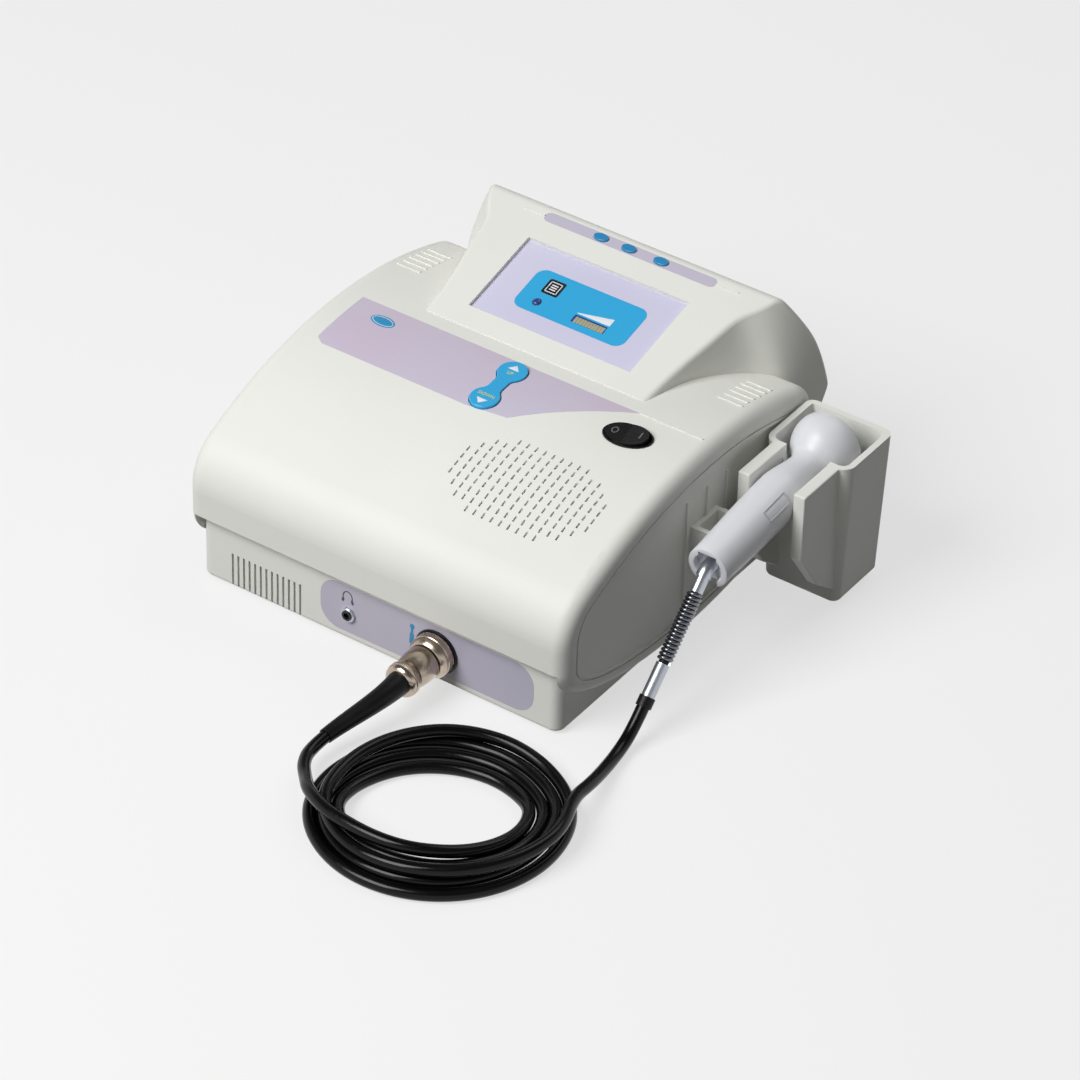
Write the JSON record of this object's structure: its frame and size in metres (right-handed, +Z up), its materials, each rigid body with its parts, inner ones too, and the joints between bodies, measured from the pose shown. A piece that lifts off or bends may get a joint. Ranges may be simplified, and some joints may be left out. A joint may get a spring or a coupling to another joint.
{
  "type": "fetal doppler monitor",
  "caption": "Desktop fetal heart monitor: domed cover with sloping display hood on a shallow tray, grille, keys, corded probe in a side holder",
  "frame": {"origin": "on the table, below the middle of the monitor's box: case, hood and holder, without the cord and plug", "axes": "+Z up; +X to the right of someone facing the display, the side that carries the probe; +Y from the front to the back"},
  "size_m": [0.2944, 0.4209, 0.1369],
  "materials": {
    "housing": "satin off-white moulding",
    "probe_shell": "satin cool white moulding",
    "probe_lens": "smooth white face",
    "probe_pad": "printed pale blue pad",
    "label_lilac": "printed lilac film",
    "label_white": "printed white film",
    "display_overlay": "printed lilac overlay",
    "display_window": "blue backlit window",
    "key_blue": "satin blue",
    "black_plastic": "black",
    "inner_plastic": "dark inner moulding",
    "bright_metal": "bright plated",
    "steel": "plain steel",
    "spring_steel": "wound wire",
    "plug_metal": "turned metal, warm grey",
    "rubber_black": "black",
    "cord_rubber": "black, slightly glossy",
    "board": "circuit board green"
  },
  "bodies": {
    "case": {"base_tray": "housing", "board_components": "inner_plastic", "button_strip": "label_lilac", "case_screws": "steel", "cord_coil": "cord_rubber", "cord_run_plug": "cord_rubber", "cord_run_probe": "cord_rubber", "cover_label": "label_lilac", "display_module": "inner_plastic", "display_panel": "display_overlay", "display_window": "display_window", "front_label": "label_white", "handle_cradle": "housing", "headphone_jack": "black_plastic", "hood_key_board": "board", "inlet_pins": "bright_metal", "jack_nut": "bright_metal", "main_board": "board", "mains_inlet": "black_plastic", "plug_back_nut": "plug_metal", "plug_boot": "rubber_black", "plug_shell": "plug_metal", "power_bezel": "black_plastic", "power_switch": "inner_plastic", "power_transformer": "steel", "probe_holder": "housing", "probe_socket": "steel", "rocker_pin": "steel", "rubber_feet": "rubber_black", "socket_gasket": "rubber_black", "socket_nut": "steel", "speaker_driver": "inner_plastic", "speaker_magnet": "steel", "upper_cover": "housing", "volume_board": "board"},
    "probe": {"probe_head": "probe_shell", "probe_lens": "probe_lens", "probe_handle": "probe_shell", "probe_pad": "probe_pad", "probe_collar": "probe_shell", "probe_gland": "bright_metal", "ferrule_upper": "bright_metal", "relief_spring": "spring_steel", "ferrule_lower": "bright_metal", "cord_sleeve": "rubber_black"},
    "coupling_ring": {"plug_coupling_ring": "plug_metal"},
    "key_left": {"hood_key_left": "key_blue"},
    "key_middle": {"hood_key_middle": "key_blue"},
    "key_right": {"hood_key_right": "key_blue"},
    "power_button": {"power_key": "black_plastic"},
    "volume_key": {"volume_rocker": "key_blue"}
  },
  "joints": [
    {"name": "key_left_press", "type": "slide", "parent": "case", "child": "key_left", "axis": [0, 0.2521, -0.9677], "range_m": [0, 0.0008], "stiffness_N_per_m": 600},
    {"name": "key_middle_press", "type": "slide", "parent": "case", "child": "key_middle", "axis": [0, 0.2521, -0.9677], "range_m": [0, 0.0008], "stiffness_N_per_m": 600},
    {"name": "key_right_press", "type": "slide", "parent": "case", "child": "key_right", "axis": [0, 0.2521, -0.9677], "range_m": [0, 0.0008], "stiffness_N_per_m": 600},
    {"name": "power_rock", "type": "hinge", "parent": "case", "child": "power_button", "pos_m": [0.05295, -0.0184, 0.10428], "axis": [-0.1392, 0.9871, 0.0794], "range_deg": [0, 8]},
    {"name": "volume_rock", "type": "hinge", "parent": "case", "child": "volume_key", "pos_m": [-0.02675, -0.02128, 0.10795], "axis": [1, 0, 0], "range_deg": [-3, 3], "stiffness_Nm_per_rad": 0.2},
    {"name": "coupling_turn", "type": "hinge", "parent": "case", "child": "coupling_ring", "pos_m": [0.01145, -0.133, 0.0198], "axis": [0, -1, 0], "continuous": true},
    {"name": "probe_lift", "type": "slide", "parent": "case", "child": "probe", "axis": [0, 0, 1], "range_m": [0, 0.06]}
  ]
}
